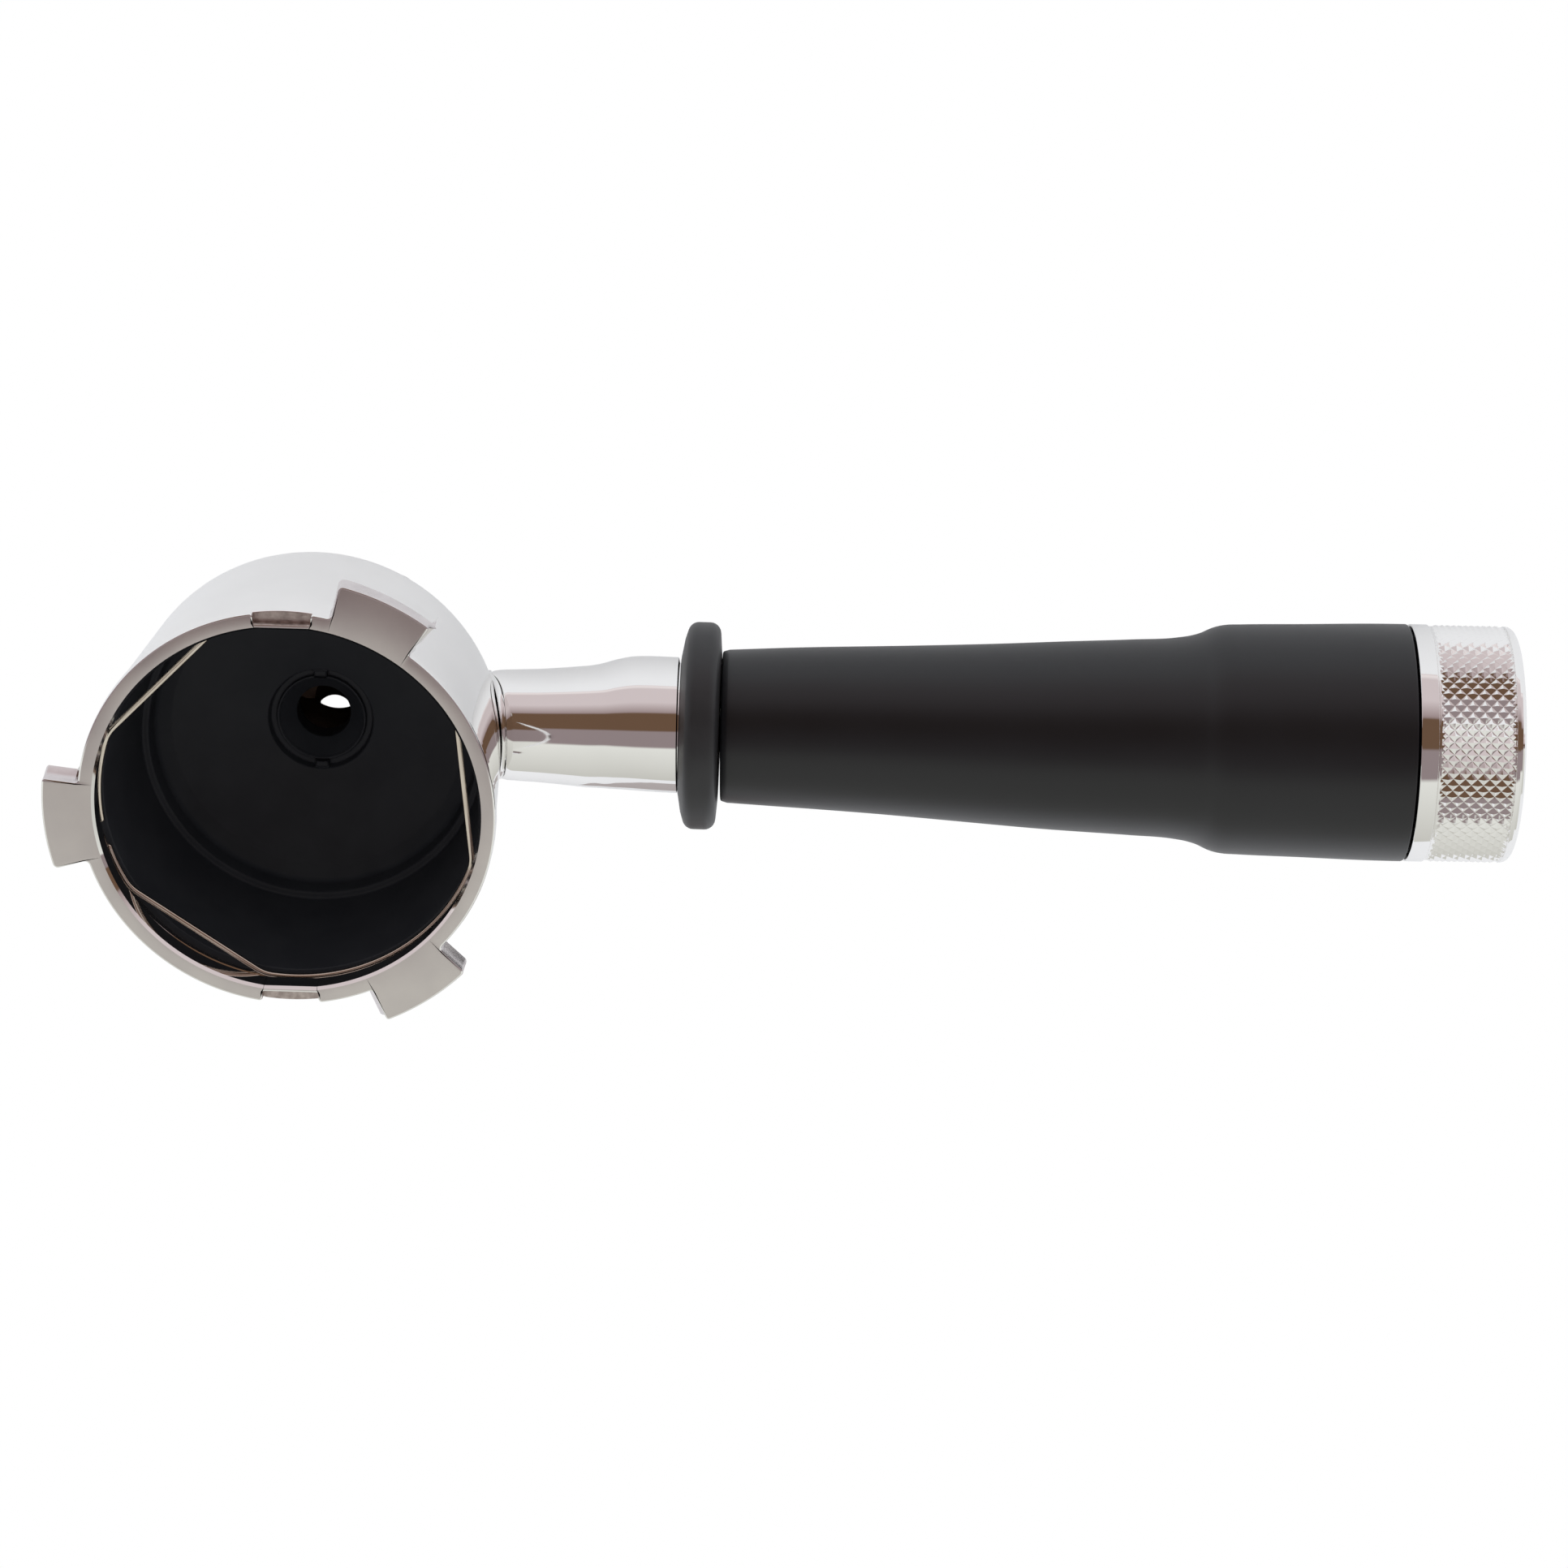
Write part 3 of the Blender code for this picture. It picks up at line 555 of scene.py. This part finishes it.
zinc = finish("zinc_plated_steel", (0.62, 0.63, 0.60), (0.50, 0.51, 0.50), 1.0, 0.24, 0.42, 500.0, 0, 0.004)
rubber = finish("black_rubber", (0.018, 0.018, 0.020), (0.013, 0.013, 0.015), 0, 0.38, 0.50, 160.0, 0, 0.005)


def hexagon(flats, bore, low, high, steps=144):
    """A nut about Z: the side follows the hexagon, and a 30 degree cone cuts both ends to round faces."""
    turns = np.linspace(0, math.tau, steps, endpoint=False)
    side = flats / 2 / np.cos((turns + math.pi / 6) % (math.pi / 3) - math.pi / 6)
    face = np.minimum(side, flats / 2)
    fall = (side - face) * math.tan(math.radians(30))
    hole = np.full(steps, bore)

    def ring(radius, height):
        """A row of the nut: a radius for every turn, at a height."""
        return np.column_stack([radius * np.cos(turns), radius * np.sin(turns), height + 0 * turns])

    rings = [ring(hole, low + 0.3), ring(hole + 0.3, low), ring(face, low), ring(side, low + fall)]
    rings += [ring(side, high - fall), ring(face, high), ring(hole + 0.3, high), ring(hole, high - 0.3)]
    return skin(np.stack([*rings, rings[0]]))


nut = mesh_of("spout_lock_nut", *hexagon(22.5, 8.5, -51.5, -48.4))
place("spout_lock_nut", nut, zinc, "lock_nut", "zinc_plated_steel", "spout_lock_nut")
ring = outline([(8.5, -53.0, 0.15), (11.0, -53.0, 0.3), (11.0, -51.8, 0.3), (8.5, -51.8, 0.15)])
gasket = mesh_of("spout_gasket", *turned(ring))
place("spout_gasket", gasket, rubber, "spout", "black_rubber", "spout_gasket")

# ----------------------------------------------------------------------------------------------------
# Twin spout: cast brass, chrome-plated. A threaded collar spreads into one arched casting with two legs; the
# coffee runs from the socket through a slanted way into each leg.

ARM_TURN = math.radians(-10)


def swung(skinned):
    """Turns a piece about Z so that the spout's arms stand where they are locked."""
    points, faces = skinned
    c, s = math.cos(ARM_TURN), math.sin(ARM_TURN)
    return points @ np.array([[c, s, 0], [-s, c, 0], [0, 0, 1]]), faces


def swelling(stations, values, count):
    """Values on a smooth curve through a few stations: cubic pieces that share their slopes."""
    stations, values = np.array(stations, float), np.array(values, float)
    slope = np.gradient(values, stations)
    s = np.linspace(stations[0], stations[-1], count)
    i = np.clip(np.searchsorted(stations, s) - 1, 0, len(stations) - 2)
    step = stations[i + 1] - stations[i]
    t = (s - stations[i]) / step
    value = values[i] * (1 + 2 * t) * (1 - t) ** 2 + values[i + 1] * t * t * (3 - 2 * t)
    return s, value + step * t * (1 - t) * (slope[i] * (1 - t) - slope[i + 1] * t)


def spout_casting():
    """Shoulders and legs in one: round-cornered rectangles whose sides swell and draw in down the height.

    A corner's point at turn t is (half x - c + c cos t, half y - c + c sin t), c being the corner's radius.
    """
    heights = (0.0, 1.4, 3.4, 5.9, 9.4, 13.4, 16.8, 17.4)
    depth, half_x = swelling(heights, (9.0, 10.0, 10.3, 10.2, 9.4, 7.6, 5.6, 5.1), 60)
    depth, half_y = swelling(heights, (11.8, 14.8, 16.7, 17.2, 16.6, 15.2, 14.1, 13.6), 60)
    depth, corner = swelling(heights, (5.0, 3.4, 2.8, 2.7, 3.0, 4.0, 4.6, 4.6), 60)
    turns = np.linspace(0, math.tau, 80, endpoint=False) + math.tau / 160
    x = np.sign(np.cos(turns)) * (half_x - corner)[:, None] + corner[:, None] * np.cos(turns)
    y = np.sign(np.sin(turns)) * (half_y - corner)[:, None] + corner[:, None] * np.sin(turns)
    rings = np.stack([x, y, -56.6 - depth[:, None] + 0 * x], -1)
    shut = rings[[0, -1]] * [0, 0, 1]
    return skin(np.concatenate([shut[:1], rings, shut[1:]]))


def carved(name, solid, added, cut):
    """A solid with others joined to it and cut from it, as one closed mesh with its new corners sharp."""
    piece = bpy.data.objects.new(name, mesh_of(name, *solid))
    scene.collection.objects.link(piece)
    tools = []
    for operation, shapes in (("UNION", added), ("DIFFERENCE", cut)):
        for shape in shapes:
            tool = bpy.data.objects.new(name + "_tool", mesh_of(name + "_tool", *shape))
            scene.collection.objects.link(tool)
            step = piece.modifiers.new(tool.name, "BOOLEAN")
            step.operation = operation
            step.object = tool
            tools.append(tool)
    done = bpy.data.meshes.new_from_object(piece.evaluated_get(bpy.context.evaluated_depsgraph_get()))
    for gone in (piece, *tools):
        bpy.data.objects.remove(gone)
    done.name = name
    done.shade_smooth()
    done.set_sharp_from_angle(angle=math.radians(32))
    return done


def bar(radius, start, end, steps=48):
    """A round bar between two points: a circle across the line from one to the other, at both of them."""
    start, end = np.array(start, float), np.array(end, float)
    along = (end - start) / np.linalg.norm(end - start)
    across = np.cross(along, (0, 0, 1) if abs(along[0]) > 0.9 else (1, 0, 0))
    across /= np.linalg.norm(across)
    up = np.cross(along, across)
    turns = np.linspace(0, math.tau, steps, endpoint=False)[:, None]
    circle = radius * (across * np.cos(turns) + up * np.sin(turns))
    middle = np.zeros((steps, 3))
    return skin(np.stack([start + middle, start + circle, end + circle, end + middle]))


collar_edge = [(0, -53.3, 0), (11.2, -53.3, 0.5), (11.2, -59.5, 0), (0, -59.5, 0)]
collar = turned(outline(collar_edge, closed=False), 96)
socket = turned(np.array([(0, -50), (8.5, -50), (8.5, -60.3), (0, -60.3)]), 72)
arch = bar(6.0, (-20, 0, -74.5), (20, 0, -74.5), 72)
WAY_TOP, WAY_FOOT, LEG_TOP, LEG_FOOT = (2.6, -58.5), (9.8, -67.5), (9.8, -65.5), (9.8, -76)
WAY_R = 3.05
ways = []
for side in (-1, 1):
    ways += [bar(WAY_R, (0, side * WAY_TOP[0], WAY_TOP[1]), (0, side * WAY_FOOT[0], WAY_FOOT[1]))]
    ways += [bar(WAY_R, (0, side * LEG_TOP[0], LEG_TOP[1]), (0, side * LEG_FOOT[0], LEG_FOOT[1]))]
cuts = [swung(shape) for shape in (socket, arch, *ways)]
spout_mesh = carved("twin_spout", swung(spout_casting()), [swung(collar)], cuts)
place("twin_spout", spout_mesh, chrome, "spout", "polished_chrome", "twin_spout")
stained = finish("stained", (0.45, 0.38, 0.30), (0.34, 0.28, 0.22), 1.0, 0.6, 0.8, 400, 0, 0.02, 2500)
spout_mesh.materials.append(stained)
centres = np.array([face.center for face in spout_mesh.polygons]) / MM
centres = swung((centres * [1, -1, 1], None))[0] * [1, -1, 1]
slant = np.array([WAY_FOOT[0] - WAY_TOP[0], WAY_FOOT[1] - WAY_TOP[1]])
slant = slant / np.linalg.norm(slant)
past = np.column_stack([np.abs(centres[:, 1]) - WAY_TOP[0], centres[:, 2] - WAY_TOP[1]])
off_slant = np.hypot(centres[:, 0], past @ [slant[1], -slant[0]])
off_leg = np.hypot(centres[:, 0], np.abs(centres[:, 1]) - LEG_TOP[0])
inside = (off_slant < WAY_R + 0.05) & (centres[:, 2] < -57)
inside |= (off_leg < WAY_R + 0.05) & (centres[:, 2] > -73.9)
inside |= (np.hypot(centres[:, 0], centres[:, 1]) < 8.55) & (centres[:, 2] > -60.35) & (centres[:, 2] < -53.4)
spout_mesh.polygons.foreach_set("material_index", inside.astype(np.int32))

# ----------------------------------------------------------------------------------------------------
# Handle neck: turned and chrome-plated sleeve over the spigot. Its front is cut to the bowl's curve; it
# swells to the guard with a soft step, and its wide end stands a little off the rod's line.


SIDEWAYS = np.array([0.36, 0.93])


def set_off(skinned, bore, turned_in=0.0):
    """Moves what lies outside a bore off the rod's line: 0.65 at the neck's end, 0.47 at the grip's front.

    turned_in is how much of that the surfaces at right angles to the offset lose, from 0 to 1.
    """
    points, faces = skinned
    s, radius = points[:, 2], np.hypot(points[:, 0], points[:, 1])
    offset = 0.65 * eased(s, 41, 49) - 0.18 * eased(s, 49, 57) - 0.47 * eased(s, 72, 114)
    toward = (points[:, :2] @ SIDEWAYS / np.maximum(radius, 1e-6)) ** 2
    offset *= 1 - turned_in * (1 - toward)
    moved = points.copy()
    moved[:, :2] += np.where(radius > bore, offset, 0)[:, None] * SIDEWAYS
    return moved, faces


# The front is drawn square at NECK_FRONT, then moved to the boss's end; past UNCHANGED_FROM nothing moves
NECK_FRONT, UNCHANGED_FROM, JOINT_GAP = 29.5, 34, 0.15
nose = [(7.8, 42.8, 0), (6.5, 42.8, 0), (6.5, NECK_FRONT, 0), (8.3, NECK_FRONT, 0.25), (8.55, 30.3, 0)]
s, radius = swelling(
    (30.6, 36, 40.5, 43.5, 46.0, 48.5, 51.0, 55.6), (8.57, 8.95, 9.35, 9.65, 10.08, 10.38, 10.5, 10.55), 60
)
tail = outline([(9.6, 55.8, 0), (9.6, 57.6, 0), (7.8, 57.6, 0), (7.8, 42.8, 0)], closed=False)
points, faces = turned(np.concatenate([outline(nose, closed=False), np.column_stack([radius, s]), tail]))
front = boss_end(np.arctan2(points[:, 1], points[:, 0])) + JOINT_GAP
near = front + (points[:, 2] - NECK_FRONT) / (UNCHANGED_FROM - NECK_FRONT) * (UNCHANGED_FROM - front)
neck = np.column_stack([points[:, :2], np.where(points[:, 2] < UNCHANGED_FROM, near, points[:, 2])]), faces
neck = set_off(neck, 8.1, 1.0)
neck_mesh = mesh_of("handle_neck", *along_handle(neck))
place("handle_neck", neck_mesh, chrome, "holder", "polished_chrome", "handle_neck")

# ----------------------------------------------------------------------------------------------------
# Guard ring: moulded black rubber, held between the neck and the grip, with rounded edges and a front face
# that leans back a little.

guard_edge = [(4.4, 62.1, 0), (4.4, 58.0, 0), (9.9, 58.0, 0), (9.9, 56.0, 0), (10.7, 55.9, 0)]
guard_edge += [(11.2, 56.0, 0.3), (13.5, 56.4, 0), (16.1, 57.2, 1.7), (16.1, 61.75, 1.7), (11.6, 62.1, 0.2)]
leaning = np.array([[1, 0, 0], [0, 1, 0.014], [0, -0.014, 1]])
points, faces = turned(outline(guard_edge))
points = (points - [0, 0, 59]) @ leaning + [0, 0, 59]
guard_mesh = mesh_of("guard_ring", *along_handle(set_off((points, faces), 9.0)))
place("guard_ring", guard_mesh, rubber, "holder", "black_rubber", "guard_ring")

# ----------------------------------------------------------------------------------------------------
# Grip: moulded satin black plastic, a long cone with a soft step to a straight barrel, hollow for the rod.

black = finish("black", (0.0042, 0.0044, 0.0066), (0.0030, 0.0032, 0.0050), 0, 0.36, 0.42, 60.0, 0, 0.004)

nose = outline([(7.3, 75, 0), (7.3, 62.4, 0), (11.6, 62.4, 0.4), (11.85, 63.3, 0)], closed=False)
s, radius = swelling(
    (63.5, 71, 89, 101.5, 114, 126, 132.7, 135.2, 136.6, 137.8, 139, 140.3, 142.7, 152, 164, 166.6),
    (11.9, 12.3, 13.15, 13.85, 14.6, 15.2, 15.62, 16.05, 16.5, 17.08, 17.5, 17.74, 17.85, 18.08, 18.38, 18.4),
    160,
)
tail = [(18.4, 166.7, 0), (18.4, 168.3, 0.35), (9.2, 168.3, 0.3), (9.2, 158, 0), (4.4, 158, 0), (4.4, 75, 0)]
grip = np.concatenate([nose, np.column_stack([radius, s]), outline(tail, closed=False), nose[:1]])
grip_mesh = mesh_of("grip", *along_handle(set_off(turned(grip), 9.5)))
place("grip", grip_mesh, black, "holder", "black_plastic", "grip")

# ----------------------------------------------------------------------------------------------------
# Tie rod: zinc-plated steel, screwed into the spigot. Its thread shows in the grip's recess once the cap is
# off.


def threaded(radius, start, end, pitch, depth):
    """A rod about Z with a V thread: the radius dips once every pitch, a step further at each angle."""
    turns = np.linspace(0, math.tau, 48, endpoint=False)
    s = np.concatenate([[start], np.arange(start, end, pitch / 6), [end]])[:, None]
    wave = np.abs(((s / pitch - turns / math.tau) % 1) * 2 - 1)
    ends = np.minimum(eased(s, start, start + pitch), 1 - eased(s, end - pitch, end))
    reach = radius - depth * (1 - wave * ends)
    reach[[0, -1]] = 0
    return skin(np.stack([reach * np.cos(turns), reach * np.sin(turns), s + 0 * turns], -1))


rod_mesh = mesh_of("tie_rod", *along_handle(threaded(3.7, 31, 178, 1.25, 0.6)))
place("tie_rod", rod_mesh, zinc, "holder", "zinc_plated_steel", "tie_rod")

# ----------------------------------------------------------------------------------------------------
# End cap: turned brass, chrome-plated, with a polished band, a diamond knurl and a rounded end, and the thin
# rubber ring it closes on.

KNURLS, KNURL_PITCH, KNURL_DEPTH, KNURL_CUTS = 60, 1.84, 0.46, 4
CAP_R, KNURL_START = 18.4, 171.88


def knurled_cap():
    """The cap's section carried round the axis, its knurl pressed in by two crossing sets of V grooves.

    A point's place across each set is 60 turns plus or minus s / pitch. It sinks by how near it is to the
    nearest groove, so four-sided points are left standing. Each cell of the grid is split along the
    diagonal that lies deeper, which keeps the grooves and the points' edges straight.
    """
    rows = KNURL_START + np.arange(6 * KNURL_CUTS + 1) * KNURL_PITCH / KNURL_CUTS
    back = [(0, 180.0, 0), (7.3, 180.0, 0), (7.3, 169.5, 0), (9.0, 169.5, 0), (9.0, 181.3, 0)]
    back += [(15.6, 181.3, 0), (15.6, 169.5, 0), (17.6, 169.5, 0), (17.6, 168.6, 0)]
    back += [(CAP_R, 168.6, 0.22), (CAP_R, 171.3, 0.1)]
    back += [(18.0, 171.55, 0.1), (18.1, 171.75, 0)]
    band = np.column_stack([np.full(len(rows), CAP_R), rows])
    front = [(18.05, 183.05, 0), (18.32, 183.15, 0.1), (18.25, 184.7, 1.4), (0, 184.7, 0)]
    profile = np.concatenate([outline(back, closed=False), band, outline(front, closed=False)])
    points, faces = turned(profile, KNURLS * KNURL_CUTS)
    share = np.arctan2(points[:, 1], points[:, 0]) / math.tau * KNURLS
    along = (points[:, 2] - KNURL_START) / KNURL_PITCH
    nearness = [1 - np.abs((share + sign * along) % 1 * 2 - 1) for sign in (-1, 1)]
    radius = np.hypot(points[:, 0], points[:, 1])
    ends = 1 - eased(points[:, 2], KNURL_START, KNURL_START + 0.3) + eased(points[:, 2], 182.6, 182.9)
    depth = np.clip(KNURL_DEPTH * np.maximum(*nearness), 0.03, KNURL_DEPTH)
    depth = np.maximum(depth, 0.25 * ends) * ((radius > CAP_R - 0.01) & (along > -0.01))
    points[:, :2] *= ((radius - depth) / np.maximum(radius, 1e-6))[:, None]
    even = depth[faces[:, 0]] + depth[faces[:, 2]] >= depth[faces[:, 1]] + depth[faces[:, 3]]
    first = np.where(even[:, None], faces[:, [0, 1, 2]], faces[:, [0, 1, 3]])
    second = np.where(even[:, None], faces[:, [0, 2, 3]], faces[:, [1, 2, 3]])
    return points, np.concatenate([first, second])


cap_mesh = mesh_of("cap_shell", *along_handle(knurled_cap()), 14)
place("cap_shell", cap_mesh, chrome, "end_cap", "polished_chrome", "cap_shell")
seal = outline([(12.0, 168.6, 0.1), (17.3, 168.6, 0.2), (17.3, 169.2, 0.2), (12.0, 169.2, 0.1)])
seal_mesh = mesh_of("cap_seal", *along_handle(turned(seal)))
place("cap_seal", seal_mesh, rubber, "cap_ring", "black_rubber", "cap_seal")

# ----------------------------------------------------------------------------------------------------
# Hidden fastenings: the frame's own shapes, in their real finishes. The seal is round the lining's outlet
# tube, inside the cup. The others are inside the handle, from the cup's spigot to the end cap.

brass = finish("brass", (0.72, 0.54, 0.26), (0.60, 0.43, 0.20), 1.0, 0.20, 0.36, 400.0, 0.0, 0.003)
bush_plastic = finish("bush", (0.035, 0.035, 0.038), (0.025, 0.025, 0.028), 0, 0.4, 0.55, 300.0, 0, 0.005)
fastenings = {
    zinc: ("neck_key", "rod_jam_nut", "clamp_washer", "clamp_nut"),
    spring_steel: ("spring_washer",),
    brass: ("grip_bush", "cap_insert"),
    bush_plastic: ("neck_bush",),
    rubber: ("liner_seal",),
}
for surface, names in fastenings.items():
    for name in names:
        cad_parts[name].data.materials.clear()
        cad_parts[name].data.materials.append(surface)
